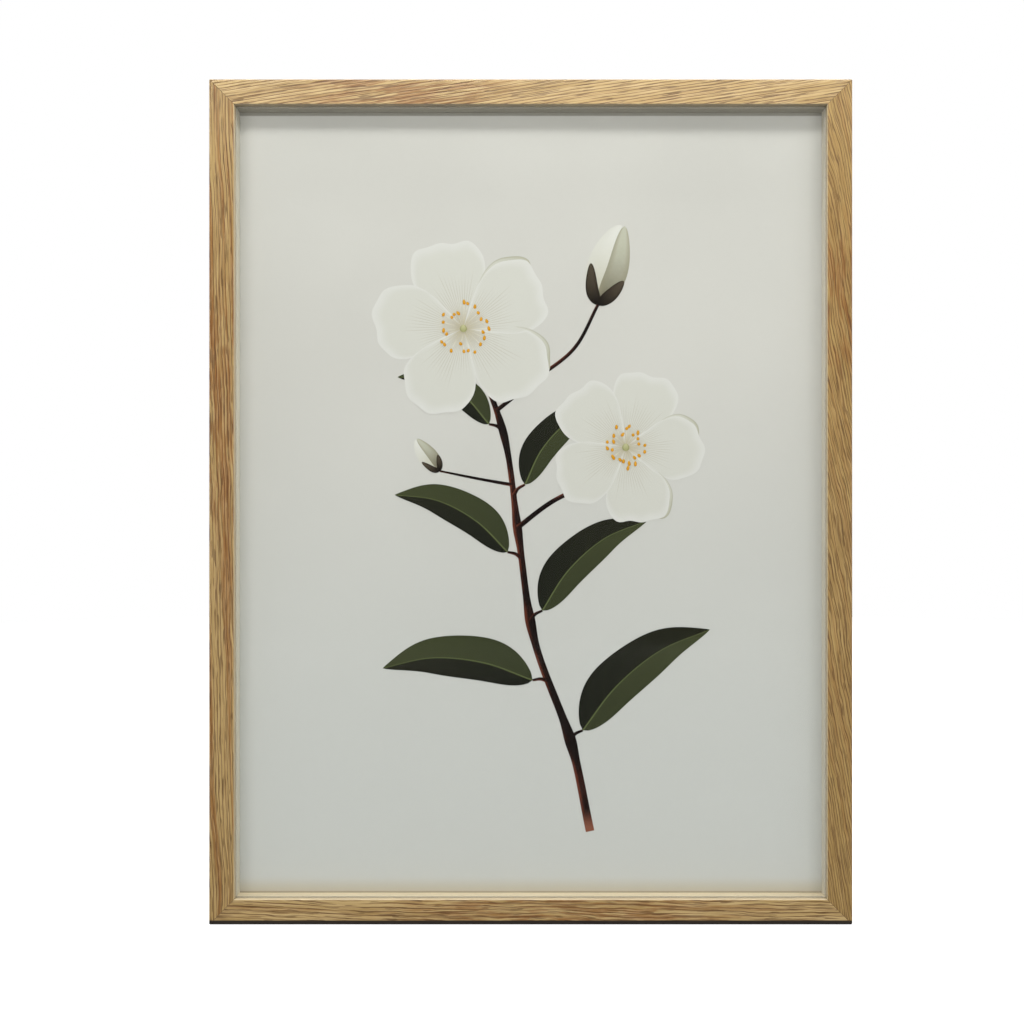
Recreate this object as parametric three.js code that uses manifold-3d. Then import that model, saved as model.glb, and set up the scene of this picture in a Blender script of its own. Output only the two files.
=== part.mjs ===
// Oak floating frame: four mitred box mouldings round a glazed, spaced print, with the back stack held
// in by turn buttons and two D-ring hangers on the stiles.
//
// Millimetres, +Z up. The front faces -Y, +X is to the right as seen from the front, and the origin is
// the centre of the bottom of the whole assembly's box. Distances called "behind" run along +Y from the
// front face, and "inset" runs from the frame's outer side towards its middle.

import * as THREE from 'three';
import { mergeVertices } from 'three/addons/utils/BufferGeometryUtils.js';
import Module from 'manifold-3d';

const wasm = await Module();
wasm.setup();

// --- Driving dimensions -------------------------------------------------------------------------

const SHEET_W = 300; // the print's stock size
const SHEET_H = 400;
const LIP_COVER = 3.25; // how much of the sheet the lip hides on each side
const FACE = 12.5; // width of the moulding's front face
const RAIL_DEPTH = 19;
const LIP_DEPTH = 3; // front face to the rebate
const EASE_OUTER = 0.8; // rounding of the front outer arris
const EASE_INNER = 0.4; // rounding of the front inner arris
const EASE_BACK = 0.6; // rounding of the back outer arris
const MITRE_GAP = 0.12; // joint line at each mitre
const PACK_SLACK = 0.5; // room round the sheet and boards in the rebate
const LAYER_GAP = 0.05; // between the layers of the pack

const GLAZING = 2;
const SPACER_DEPTH = 5.8;
const SHEET = 0.3;
const MOUNT_BOARD = 1.5;
const BARRIER_BOARD = 3;
const BACKING_BOARD = 3;
const SPACER_SETBACK = 0.2; // spacer's visible wall behind the lip's

const FIT = 0.2; // clearance of screws and corner wedges in the oak

const SCREW_SHANK = 1.1; // radius
const SCREW_LENGTH = 9;
const SCREW_POINT = 2.5;
const SCREW_HEAD = 2.5; // radius
const SCREW_HEAD_HEIGHT = 1.6;
const RECESS_WIDTH = 0.6; // cross recess in the head
const RECESS_LENGTH = 2.6;
const RECESS_DEPTH = 0.9;

const BUTTON_THICKNESS = 1;
const BUTTON_END = 3.5; // radius of both ends
const BUTTON_REACH = 11; // between the centres of the ends
const BUTTON_LIFT = 0.1; // running clearance under, over and inside the button
const BUTTON_ALONG = 125; // middle of a stile to its turn buttons
const BUTTON_EDGE = 0.15; // stamped edge rounding

const STRAP_THICKNESS = 0.9;
const STRAP_WIDTH = 6;
const STRAP_LENGTH = 19.5; // pivot to the rounded end
const STRAP_HOLE_DROP = 14.5; // pivot to the screw
const STRAP_LIFT = 0.05;
const HANGER_INSET = 5.6;
const HANGER_HEIGHT = 290;
const WIRE = 0.8; // D ring wire radius
const WIRE_PLAY = 0.2; // between the wire and its knuckle
const RING_HALF_WIDTH = 4.5; // bar centre to leg centre-line
const RING_LEG = 5; // pivot to the centre of the round end
const RING_CORNER = 1.5;

const WEDGE_CORNER = 2.2; // inset of the wedge's corner
const WEDGE_WING = 4.8;
const WEDGE_THICKNESS = 0.6;
const WEDGE_DEPTH = 7;
const WEDGE_SUNK = 0.1;

const BUMPER_RADIUS = 4;
const BUMPER_HEIGHT = 3;
const BUMPER_EDGE = 0.8;
const BUMPER_FROM_CORNER = 16;

// --- Worked out from them -----------------------------------------------------------------------

const SIGHT_W = SHEET_W - 2 * LIP_COVER;
const SIGHT_H = SHEET_H - 2 * LIP_COVER;
const OUTER_W = SIGHT_W + 2 * FACE;
const OUTER_H = SIGHT_H + 2 * FACE;
const WALL = FACE - LIP_COVER - PACK_SLACK; // oak left outside the rebate
const WALL_MIDDLE = WALL / 2;
const STRAP_BACK = RAIL_DEPTH + STRAP_LIFT + STRAP_THICKNESS;
const KNUCKLE_INNER = WIRE + WIRE_PLAY;
const KNUCKLE_OUTER = KNUCKLE_INNER + STRAP_THICKNESS;
const PIVOT_BEHIND = STRAP_BACK + KNUCKLE_INNER;
const OVERALL_DEPTH = PIVOT_BEHIND + KNUCKLE_OUTER;
const FRONT_Y = -OVERALL_DEPTH / 2;
const BUTTON_TOP = RAIL_DEPTH + BUTTON_LIFT + BUTTON_THICKNESS;
const HANGER_ALONG = HANGER_HEIGHT - OUTER_H / 2;

// Each side is a group whose X runs along the moulding, Y goes behind the front and Z is the inset.
const SIDES = [
  {
    name: 'bottom',
    node: 'bottom_rail',
    length: OUTER_W,
    turn: 0,
    at: [0, 0],
    buttons: { middle: 0 },
    hangerScrews: [],
  },
  {
    name: 'top',
    node: 'top_rail',
    length: OUTER_W,
    turn: Math.PI,
    at: [0, OUTER_H],
    buttons: { middle: 0 },
    hangerScrews: [],
  },
  {
    name: 'left',
    node: 'left_stile',
    length: OUTER_H,
    turn: Math.PI / 2,
    at: [-OUTER_W / 2, OUTER_H / 2],
    buttons: { upper: -BUTTON_ALONG, lower: BUTTON_ALONG },
    hangerScrews: [STRAP_HOLE_DROP - HANGER_ALONG],
  },
  {
    name: 'right',
    node: 'right_stile',
    length: OUTER_H,
    turn: -Math.PI / 2,
    at: [OUTER_W / 2, OUTER_H / 2],
    buttons: { upper: BUTTON_ALONG, lower: -BUTTON_ALONG },
    hangerScrews: [HANGER_ALONG - STRAP_HOLE_DROP],
  },
];

// --- Materials ----------------------------------------------------------------------------------

const finish = (color, roughness, metalness = 0) =>
  new THREE.MeshStandardMaterial({ color, roughness, metalness });

const FINISHES = {
  oak: () => finish(0xb08d5e, 0.6),
  glazing: () => finish(0xe8eeee, 0.05),
  spacer: () => finish(0xb9b6ab, 0.8),
  print: () => finish(0xcfd0c8, 0.85),
  board: () => finish(0xe9e6dc, 0.9),
  fibreboard: () => finish(0x9a7650, 0.85),
  steel: () => finish(0xb6b8ba, 0.35, 1),
  felt: () => finish(0x3a3a3c, 0.95),
};

// --- Helpers ------------------------------------------------------------------------------------

const part = new THREE.Group();

function place(name, geometry, kind, parent = part) {
  const mesh = new THREE.Mesh(geometry, FINISHES[kind]());
  mesh.name = name;
  parent.add(mesh);
  return mesh;
}

function solidOf(geometry) {
  const bare = geometry.clone();
  bare.deleteAttribute('normal');
  bare.deleteAttribute('uv');
  const welded = mergeVertices(bare, 1e-4);
  const vertProperties = Float32Array.from(welded.attributes.position.array);
  const triVerts = Uint32Array.from(welded.index.array);
  return new wasm.Manifold(new wasm.Mesh({ numProp: 3, vertProperties, triVerts }));
}

function geometryOf(solid) {
  const mesh = solid.getMesh();
  const geometry = new THREE.BufferGeometry();
  geometry.setAttribute('position', new THREE.BufferAttribute(mesh.vertProperties, 3));
  geometry.setIndex(new THREE.BufferAttribute(mesh.triVerts, 1));
  geometry.computeVertexNormals();
  return geometry;
}

function cut(geometry, cutters) {
  const left = cutters.reduce((solid, cutter) => solid.subtract(solidOf(cutter)), solidOf(geometry));
  return geometryOf(left);
}

// A plate from an outline in X and Z, from y = 0 to y = thickness.
function plate(outline, thickness, edge = 0) {
  const options = {
    depth: thickness - 2 * edge,
    curveSegments: 6,
    bevelEnabled: edge > 0,
    bevelThickness: edge,
    bevelSize: edge,
    bevelOffset: -edge,
    bevelSegments: 1,
  };
  const geometry = new THREE.ExtrudeGeometry(outline, options);
  geometry.rotateX(Math.PI / 2);
  geometry.translate(0, thickness - edge, 0);
  return geometry;
}

function polygon(points) {
  return new THREE.Shape(points.map(([x, y]) => new THREE.Vector2(x, y)));
}

// --- Oak mouldings ------------------------------------------------------------------------------

// The section as an outline of inset against distance behind the front, with the arrises rounded.
function mouldingSection() {
  const section = new THREE.Shape();
  section.moveTo(0, EASE_OUTER);
  section.absarc(EASE_OUTER, EASE_OUTER, EASE_OUTER, Math.PI, 1.5 * Math.PI, false);
  section.lineTo(FACE - EASE_INNER, 0);
  section.absarc(FACE - EASE_INNER, EASE_INNER, EASE_INNER, 1.5 * Math.PI, 2 * Math.PI, false);
  section.lineTo(FACE, LIP_DEPTH);
  section.lineTo(WALL, LIP_DEPTH);
  section.lineTo(WALL, RAIL_DEPTH);
  section.lineTo(EASE_BACK, RAIL_DEPTH);
  section.absarc(EASE_BACK, RAIL_DEPTH - EASE_BACK, EASE_BACK, 0.5 * Math.PI, Math.PI, false);
  return section;
}

// The section run along X between two 45 degree mitres: the bar gets shorter as the inset grows.
function mitredBar(length) {
  const options = { depth: 1, bevelEnabled: false, curveSegments: 5 };
  const bar = new THREE.ExtrudeGeometry(mouldingSection(), options);
  const spots = bar.attributes.position;
  for (let i = 0; i < spots.count; i += 1) {
    const inset = spots.getX(i);
    const behind = spots.getY(i);
    const halfLength = length / 2 - inset - MITRE_GAP;
    spots.setXYZ(i, (1 - 2 * spots.getZ(i)) * halfLength, behind, inset);
  }
  return bar;
}

function pilotHole(along, inset) {
  const depth = SCREW_LENGTH + 2 * FIT;
  const hole = new THREE.CylinderGeometry(SCREW_SHANK + FIT, SCREW_SHANK + FIT, 2 * depth, 16);
  hole.translate(along, RAIL_DEPTH, inset);
  return hole;
}

// Two thin wings at right angles, one in each of the two bars that meet at a corner.
function wedge(clearance, depth) {
  const near = WEDGE_CORNER - clearance;
  const thick = WEDGE_CORNER + WEDGE_THICKNESS + clearance;
  const far = WEDGE_CORNER + WEDGE_WING + clearance;
  const outline = [[near, near], [far, near], [far, thick], [thick, thick], [thick, far], [near, far]];
  return plate(polygon(outline), depth);
}

function wedgeSlots(length) {
  const depth = WEDGE_DEPTH + FIT;
  const start = wedge(FIT, 2 * depth);
  const end = start.clone().rotateY(-Math.PI / 2);
  start.translate(-length / 2, RAIL_DEPTH - WEDGE_SUNK - depth, 0);
  end.translate(length / 2, RAIL_DEPTH - WEDGE_SUNK - depth, 0);
  return [start, end];
}

function moulding(side) {
  const holes = [
    ...Object.values(side.buttons).map((along) => pilotHole(along, WALL_MIDDLE)),
    ...side.hangerScrews.map((along) => pilotHole(along, HANGER_INSET)),
  ];
  return cut(mitredBar(side.length), [...holes, ...wedgeSlots(side.length)]);
}

// --- The pack in the rebate ---------------------------------------------------------------------

// Layers from the lip backwards, each with the distance behind the front where it starts.
const PACK = {};
let nextLayer = LIP_DEPTH;
for (const [name, thickness] of [
  ['glazing', GLAZING],
  ['spacer', SPACER_DEPTH],
  ['art_print', SHEET],
  ['mount_board', MOUNT_BOARD],
  ['barrier_board', BARRIER_BOARD],
  ['backing_board', BACKING_BOARD],
]) {
  PACK[name] = { start: nextLayer + LAYER_GAP, thickness };
  nextLayer += LAYER_GAP + thickness;
}

function board(name, kind) {
  const { start, thickness } = PACK[name];
  const mesh = place(name, new THREE.BoxGeometry(SHEET_W, thickness, SHEET_H), kind);
  mesh.position.set(0, FRONT_Y + start + thickness / 2, OUTER_H / 2);
}

// A strip that holds the sheet off the glazing. The ones on the stiles stand between the other two.
function spacerStrip(side, group) {
  const { start, thickness } = PACK.spacer;
  const outer = WALL + PACK_SLACK / 2;
  const inner = FACE - SPACER_SETBACK;
  const upright = side.length === OUTER_H;
  const length = side.length - 2 * (upright ? inner + LAYER_GAP : outer);
  const strip = new THREE.BoxGeometry(length, thickness, inner - outer);
  const mesh = place(`${side.name}_spacer`, strip, 'spacer', group);
  mesh.position.set(0, start + thickness / 2, (outer + inner) / 2);
}

// --- Fasteners ----------------------------------------------------------------------------------

// A pan-head wood screw along Y, with its head's underside at y = 0 and a cross recess.
function screwGeometry() {
  const profile = [
    [0, -SCREW_LENGTH],
    [SCREW_SHANK, SCREW_POINT - SCREW_LENGTH],
    [SCREW_SHANK, 0],
    [SCREW_HEAD, 0],
    [SCREW_HEAD, 0.35 * SCREW_HEAD_HEIGHT],
    [0.86 * SCREW_HEAD, 0.72 * SCREW_HEAD_HEIGHT],
    [0.55 * SCREW_HEAD, 0.94 * SCREW_HEAD_HEIGHT],
    [0, SCREW_HEAD_HEIGHT],
  ];
  const body = new THREE.LatheGeometry(profile.map(([x, y]) => new THREE.Vector2(x, y)), 16);
  const slot = new THREE.BoxGeometry(RECESS_LENGTH, 2 * RECESS_DEPTH, RECESS_WIDTH);
  slot.translate(0, SCREW_HEAD_HEIGHT, 0);
  return cut(body, [slot, slot.clone().rotateY(Math.PI / 2)]);
}

const SCREW = screwGeometry();

function screw(name, along, behind, inset, group) {
  place(name, SCREW.clone(), 'steel', group).position.set(along, behind, inset);
}

// A flat steel button with round ends, its screw hole at the origin and its long end inward.
function buttonGeometry() {
  const outline = new THREE.Shape();
  outline.absarc(0, 0, BUTTON_END, Math.PI, 2 * Math.PI, false);
  outline.absarc(0, BUTTON_REACH, BUTTON_END, 0, Math.PI, false);
  outline.closePath();
  const hole = new THREE.Path();
  hole.absarc(0, 0, SCREW_SHANK + BUTTON_LIFT + BUTTON_EDGE, 0, 2 * Math.PI, true);
  outline.holes.push(hole);
  return plate(outline, BUTTON_THICKNESS, BUTTON_EDGE);
}

function turnButtons(side, group) {
  for (const [where, along] of Object.entries(side.buttons)) {
    const button = place(`${side.name}_${where}_turn_button`, buttonGeometry(), 'steel', group);
    button.position.set(along, RAIL_DEPTH + BUTTON_LIFT, WALL_MIDDLE);
    screw(`${side.name}_${where}_button_screw`, along, BUTTON_TOP + BUTTON_LIFT, WALL_MIDDLE, group);
  }
}

// --- Hangers: pivot at the origin, the strap running down ----------------------------------------

// The strap's edge-on outline, Z against distance behind the pivot: a flat leg that curls over the wire.
function strapSide() {
  const side = new THREE.Shape();
  side.moveTo(-STRAP_LENGTH, -KNUCKLE_OUTER);
  side.lineTo(0, -KNUCKLE_OUTER);
  side.absarc(0, 0, KNUCKLE_OUTER, -0.5 * Math.PI, Math.PI, false);
  side.lineTo(-KNUCKLE_INNER, 0);
  side.absarc(0, 0, KNUCKLE_INNER, Math.PI, -0.5 * Math.PI, true);
  side.lineTo(-STRAP_LENGTH, -KNUCKLE_INNER);
  side.closePath();
  return side;
}

function strapGeometry() {
  const half = STRAP_WIDTH / 2;
  const curled = new THREE.ExtrudeGeometry(strapSide(), {
    depth: STRAP_WIDTH,
    bevelEnabled: false,
    curveSegments: 12,
  });
  curled.translate(0, 0, -half);
  curled.rotateY(-Math.PI / 2); // outline's first axis becomes Z, the width runs along X
  const plan = new THREE.Shape();
  plan.moveTo(half, KNUCKLE_OUTER + 1);
  plan.lineTo(-half, KNUCKLE_OUTER + 1);
  plan.lineTo(-half, half - STRAP_LENGTH);
  plan.absarc(0, half - STRAP_LENGTH, half, Math.PI, 2 * Math.PI, false);
  plan.closePath();
  const outline = plate(plan, 4 * KNUCKLE_OUTER);
  outline.translate(0, -2 * KNUCKLE_OUTER, 0);
  const hole = new THREE.CylinderGeometry(SCREW_SHANK + FIT, SCREW_SHANK + FIT, 4 * KNUCKLE_OUTER, 16);
  hole.translate(0, 0, -STRAP_HOLE_DROP);
  return geometryOf(solidOf(curled).intersect(solidOf(outline)).subtract(solidOf(hole)));
}

class ArcXZ extends THREE.Curve {
  constructor(x, z, radius, start, end) {
    super();
    Object.assign(this, { x, z, radius, start, end });
  }

  getPoint(t, target = new THREE.Vector3()) {
    const angle = this.start + (this.end - this.start) * t;
    return target.set(this.x + this.radius * Math.cos(angle), 0, this.z + this.radius * Math.sin(angle));
  }
}

// The D ring hanging straight down: the wire's two ends meet in the middle of the bar.
function ringGeometry() {
  const lineXZ = (x0, z0, x1, z1) =>
    new THREE.LineCurve3(new THREE.Vector3(x0, 0, z0), new THREE.Vector3(x1, 0, z1));
  const barHalf = RING_HALF_WIDTH - RING_CORNER;
  const butt = WIRE_PLAY / 2;
  const path = new THREE.CurvePath();
  path.add(lineXZ(butt, 0, barHalf, 0));
  path.add(new ArcXZ(barHalf, -RING_CORNER, RING_CORNER, Math.PI / 2, 0));
  path.add(lineXZ(RING_HALF_WIDTH, -RING_CORNER, RING_HALF_WIDTH, -RING_LEG));
  path.add(new ArcXZ(0, -RING_LEG, RING_HALF_WIDTH, 0, -Math.PI));
  path.add(lineXZ(-RING_HALF_WIDTH, -RING_LEG, -RING_HALF_WIDTH, -RING_CORNER));
  path.add(new ArcXZ(-barHalf, -RING_CORNER, RING_CORNER, Math.PI, Math.PI / 2));
  path.add(lineXZ(-barHalf, 0, -butt, 0));
  const section = new THREE.Shape();
  section.absarc(0, 0, WIRE, 0, 2 * Math.PI, false);
  return new THREE.ExtrudeGeometry(section, { extrudePath: path, steps: 56, curveSegments: 5 });
}

function hanger(name, x) {
  const group = new THREE.Group();
  group.position.set(x, FRONT_Y + PIVOT_BEHIND, HANGER_HEIGHT);
  part.add(group);
  place(`${name}_hanger_strap`, strapGeometry(), 'steel', group);
  place(`${name}_d_ring`, ringGeometry(), 'steel', group);
  screw(`${name}_hanger_screw`, 0, STRAP_LIFT - KNUCKLE_INNER, -STRAP_HOLE_DROP, group);
}

// --- Bumpers ------------------------------------------------------------------------------------

function bumper(name, x) {
  const profile = [
    [0, 0],
    [BUMPER_RADIUS, 0],
    [BUMPER_RADIUS, BUMPER_HEIGHT - BUMPER_EDGE],
    [BUMPER_RADIUS - 0.3 * BUMPER_EDGE, BUMPER_HEIGHT - 0.3 * BUMPER_EDGE],
    [BUMPER_RADIUS - BUMPER_EDGE, BUMPER_HEIGHT],
    [0, BUMPER_HEIGHT],
  ];
  const pad = new THREE.LatheGeometry(profile.map(([r, y]) => new THREE.Vector2(r, y)), 24);
  place(name, pad, 'felt').position.set(x, FRONT_Y + RAIL_DEPTH + LAYER_GAP, WALL_MIDDLE);
}

// --- Assembly -----------------------------------------------------------------------------------

for (const side of SIDES) {
  const group = new THREE.Group();
  group.position.set(side.at[0], FRONT_Y, side.at[1]);
  group.rotation.y = side.turn;
  part.add(group);
  place(side.node, moulding(side), 'oak', group);
  spacerStrip(side, group);
  turnButtons(side, group);
}

board('glazing', 'glazing');
board('art_print', 'print');
board('mount_board', 'board');
board('barrier_board', 'board');
board('backing_board', 'fibreboard');

for (const [name, x, z, turn] of [
  ['bottom_left', -OUTER_W / 2, 0, 0],
  ['bottom_right', OUTER_W / 2, 0, -Math.PI / 2],
  ['top_right', OUTER_W / 2, OUTER_H, Math.PI],
  ['top_left', -OUTER_W / 2, OUTER_H, Math.PI / 2],
]) {
  const mesh = place(`${name}_corner_wedge`, wedge(0, WEDGE_DEPTH), 'steel');
  mesh.position.set(x, FRONT_Y + RAIL_DEPTH - WEDGE_SUNK - WEDGE_DEPTH, z);
  mesh.rotation.y = turn;
}

hanger('left', -OUTER_W / 2 + HANGER_INSET);
hanger('right', OUTER_W / 2 - HANGER_INSET);
bumper('left_bumper', -OUTER_W / 2 + BUMPER_FROM_CORNER);
bumper('right_bumper', OUTER_W / 2 - BUMPER_FROM_CORNER);

export default part;
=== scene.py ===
import math
import random

import bmesh
import bpy
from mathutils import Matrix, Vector

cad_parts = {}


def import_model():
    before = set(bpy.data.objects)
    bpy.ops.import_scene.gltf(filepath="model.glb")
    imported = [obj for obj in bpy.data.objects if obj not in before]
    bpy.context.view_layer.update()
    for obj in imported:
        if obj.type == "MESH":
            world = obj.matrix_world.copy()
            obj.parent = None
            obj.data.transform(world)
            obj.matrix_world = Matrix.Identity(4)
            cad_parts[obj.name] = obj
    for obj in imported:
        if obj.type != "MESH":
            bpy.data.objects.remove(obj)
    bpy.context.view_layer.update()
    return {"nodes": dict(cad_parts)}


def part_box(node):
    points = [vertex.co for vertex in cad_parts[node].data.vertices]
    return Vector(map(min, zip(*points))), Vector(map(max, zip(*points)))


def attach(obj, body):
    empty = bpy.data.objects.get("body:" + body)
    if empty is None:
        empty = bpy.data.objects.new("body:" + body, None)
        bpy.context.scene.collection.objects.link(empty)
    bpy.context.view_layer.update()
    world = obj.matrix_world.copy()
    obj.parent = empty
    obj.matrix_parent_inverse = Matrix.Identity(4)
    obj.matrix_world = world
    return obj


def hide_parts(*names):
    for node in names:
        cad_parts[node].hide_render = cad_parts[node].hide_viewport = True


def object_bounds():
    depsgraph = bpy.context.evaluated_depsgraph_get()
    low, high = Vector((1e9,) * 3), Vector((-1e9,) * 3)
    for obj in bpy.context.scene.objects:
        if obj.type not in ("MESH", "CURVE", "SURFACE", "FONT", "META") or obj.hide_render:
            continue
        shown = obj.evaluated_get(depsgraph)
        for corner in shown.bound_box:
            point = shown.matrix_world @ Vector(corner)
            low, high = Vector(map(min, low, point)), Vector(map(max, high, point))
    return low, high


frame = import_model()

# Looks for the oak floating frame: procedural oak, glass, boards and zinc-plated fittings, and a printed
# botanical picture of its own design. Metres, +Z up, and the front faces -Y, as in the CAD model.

MM = 0.001

OUTER_LOW, OUTER_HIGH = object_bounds()
OUTER_MIDDLE = (OUTER_LOW + OUTER_HIGH) / 2
OUTER_HALF = (OUTER_HIGH - OUTER_LOW) / 2
FRONT_Y = OUTER_LOW.y
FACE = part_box("bottom_rail")[1].z
PRINT_LOW, PRINT_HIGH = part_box("art_print")
PRINT_MIDDLE = (PRINT_LOW + PRINT_HIGH) / 2
SIGHT_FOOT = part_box("bottom_spacer")[1].z
SIGHT_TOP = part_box("top_spacer")[0].z


# --- Colour and node helpers ----------------------------------------------------------------------


def srgb(r, g, b):
    """A colour given as 0 to 255 screen values, as the linear RGBA that a shader takes."""

    def linear(c):
        c = c / 255
        return c / 12.92 if c <= 0.04045 else ((c + 0.055) / 1.055) ** 2.4

    return (linear(r), linear(g), linear(b), 1.0)


class Shader:
    """A material under construction: each call adds a node or a few, and returns what comes out."""

    def __init__(self, name):
        self.material = bpy.data.materials.new(name)
        self.material.use_nodes = True
        self.tree = self.material.node_tree
        self.tree.nodes.clear()
        self.out = self.tree.nodes.new("ShaderNodeOutputMaterial")

    def node(self, kind, inputs=(), **settings):
        made = self.tree.nodes.new("ShaderNode" + kind)
        for key, value in settings.items():
            setattr(made, key, value)
        for key, value in dict(inputs).items():
            self.feed(made.inputs[key], value)
        return made

    def feed(self, socket, value):
        if isinstance(value, bpy.types.NodeSocket):
            self.tree.links.new(value, socket)
        else:
            socket.default_value = value

    def math(self, operation, a, b=0.0):
        return self.node("Math", {0: a, 1: b}, operation=operation).outputs[0]

    def plus(self, a, b):
        return self.math("ADD", a, b)

    def minus(self, a, b):
        return self.math("SUBTRACT", a, b)

    def times(self, a, b):
        return self.math("MULTIPLY", a, b)

    def over(self, a, b):
        return self.math("DIVIDE", a, b)

    def absolute(self, a):
        return self.math("ABSOLUTE", a)

    def fraction(self, a):
        return self.math("FRACT", a)

    def mix(self, share, a, b):
        return self.node("Mix", {0: share, 6: a, 7: b}, data_type="RGBA").outputs[2]

    def between(self, value, low, high, to_low=0.0, to_high=1.0):
        """value as a smooth step from to_low to to_high while it goes from low to high."""
        inputs = {0: value, 1: low, 2: high, 3: to_low, 4: to_high}
        return self.node("MapRange", inputs, interpolation_type="SMOOTHSTEP").outputs[0]

    def coords(self):
        return self.node("TexCoord").outputs["Object"]

    def split(self, vector):
        return self.node("SeparateXYZ", {0: vector}).outputs

    def facing(self):
        """1 where the surface faces the front or the back, 0 where it faces sideways, up or down."""
        return self.absolute(self.split(self.node("NewGeometry").outputs["Normal"])[1])

    def join(self, x, y, z):
        return self.node("CombineXYZ", {0: x, 1: y, 2: z}).outputs[0]

    def stretch(self, vector, scale):
        """vector with each of its coordinates multiplied by its own scale."""
        return self.node("VectorMath", {0: vector, 1: scale}, operation="MULTIPLY").outputs[0]

    def noise(self, vector, scale=1.0, detail=3.0, roughness=0.5):
        inputs = {"Vector": vector, "Scale": scale, "Detail": detail, "Roughness": roughness}
        return self.node("TexNoise", inputs).outputs["Fac"]

    def cells(self, vector, scale):
        return self.node("TexVoronoi", {"Vector": vector, "Scale": scale}).outputs["Distance"]

    def attribute(self, name):
        return self.node("Attribute", attribute_name=name).outputs["Vector"]

    def bump(self, height, strength, distance):
        return self.node("Bump", {"Height": height, "Strength": strength, "Distance": distance}).outputs[0]

    def principled(self, **inputs):
        names = {key.replace("_", " "): value for key, value in inputs.items()}
        return self.node("BsdfPrincipled", names).outputs[0]

    def finish(self, surface):
        self.tree.links.new(surface, self.out.inputs["Surface"])
        return self.material


def add_object(name, bm, materials):
    """An object in the scene whose mesh is what bm holds. bm is freed."""
    mesh = bpy.data.meshes.new(name)
    bm.to_mesh(mesh)
    bm.free()
    for material in materials:
        mesh.materials.append(material)
    piece = bpy.data.objects.new(name, mesh)
    bpy.context.scene.collection.objects.link(piece)
    return piece


# --- Oak ------------------------------------------------------------------------------------------

GRAIN_DEPTH = 0.95  # how fast the growth lines cross a moulding from front to back
GRAIN_START = -6.28 * MM  # where they are counted from, at the front face
LIT_LIP_REVEAL = (196, 182, 152)  # the lip's inner edge, with a painted highlight
SHADED_TOP_LIP_REVEAL = (152, 143, 122)  # the same under the top rail, in painted shade
WOODS = {  # what each value means is told in oak()
    "top_rail": {
        "name": "oak_top", "upright": False, "slope": -0.15, "ring": 1.5 * MM, "shift": 3.1,
        "wave": 2.4 * MM, "pale": 0.52, "streaky": 0.15, "brown_at": -0.065, "brown_width": 0.07,
        "reveal": SHADED_TOP_LIP_REVEAL,
    },
    "bottom_rail": {
        "name": "oak_bottom", "upright": False, "slope": 0.02, "ring": 1.8 * MM, "shift": 7.7,
        "wave": 8 * MM, "pale": 0.43, "streaky": 0.35, "brown_at": 0.02, "brown_width": 0.12,
    },
    "left_stile": {
        "name": "oak_left", "upright": True, "slope": 0.03, "ring": 1.5 * MM, "shift": 12.4,
        "wave": 6 * MM, "pale": 0.22, "streaky": 0.75, "brown_at": 0.25, "brown_width": 0.1,
    },
    "right_stile": {
        "name": "oak_right", "upright": True, "slope": 0.19, "ring": 1.4 * MM, "shift": 18.9,
        "wave": 10 * MM, "pale": 0.0, "streaky": 0.25, "brown_at": 0.31, "brown_width": 0.06,
    },
}


def growth_lines(s, line, along, seed, pitch, rise, fall, length, low):
    """Thin dark lines, one at each pitch of line. rise and fall are shares of the pitch: a line is darkest
    from rise to twice rise, and gone at fall. It fades in and out over length as it runs along, and the
    higher low is, the more of it is faded."""
    count = s.over(line, pitch)
    part = s.fraction(count)
    stroke = s.times(s.between(part, 0.0, rise), s.between(part, 2 * rise, fall, 1.0, 0.0))
    own = s.times(s.math("FLOOR", count), 3.7)
    each = s.noise(s.join(own, seed, s.over(along, length)), 1.0, 1.0)
    return s.times(stroke, s.between(each, low, low + 0.2, 0.05, 1.0))


def growth_field(s, along, across, y, slope, ring, shift, wave):
    """A number that stays the same along a growth line and changes by ring from each line to the next."""
    wander = s.noise(s.join(s.times(along, 13.0), s.times(across, 34.0), shift), 1.0, 4.0, 0.55)
    lift = s.times(s.minus(wander, 0.5), wave)
    inward = s.times(s.minus(y, FRONT_Y), GRAIN_DEPTH)
    line = s.plus(across, s.times(along, slope))
    return s.plus(s.plus(line, inward), s.plus(lift, GRAIN_START + shift * ring))


def brown_zone(s, along, mottle, brown_at, brown_width):
    """1 in mottled patches round brown_at, and 0 elsewhere."""
    away = s.absolute(s.minus(along, brown_at))
    zone = s.between(away, 0.3 * brown_width, brown_width, 1.0, 0.0)
    return s.times(zone, s.between(mottle, 0.46, 0.54))


def lip_edge(s, across, upright):
    """1 on the lip's inner edge, which faces the opening, and 0 elsewhere."""
    half, middle = (OUTER_HALF.x, OUTER_MIDDLE.x) if upright else (OUTER_HALF.z, OUTER_MIDDLE.z)
    depth = s.minus(half, s.absolute(s.minus(across, middle)))
    sideways = s.between(s.facing(), 0.8, 0.97, 1.0, 0.0)
    return s.times(s.between(depth, FACE - 0.6 * MM, FACE - 0.3 * MM), sideways)


def painted_foot_shadow(s, y, z):
    """1 on the front arris that the frame stands on, where a contact shadow is painted, and 0 elsewhere."""
    front = s.between(y, FRONT_Y + 2.0 * MM, FRONT_Y + 3.5 * MM, 1.0, 0.0)
    return s.times(s.between(z, 2.0 * MM, 2.4 * MM, 1.0, 0.0), front)


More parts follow.
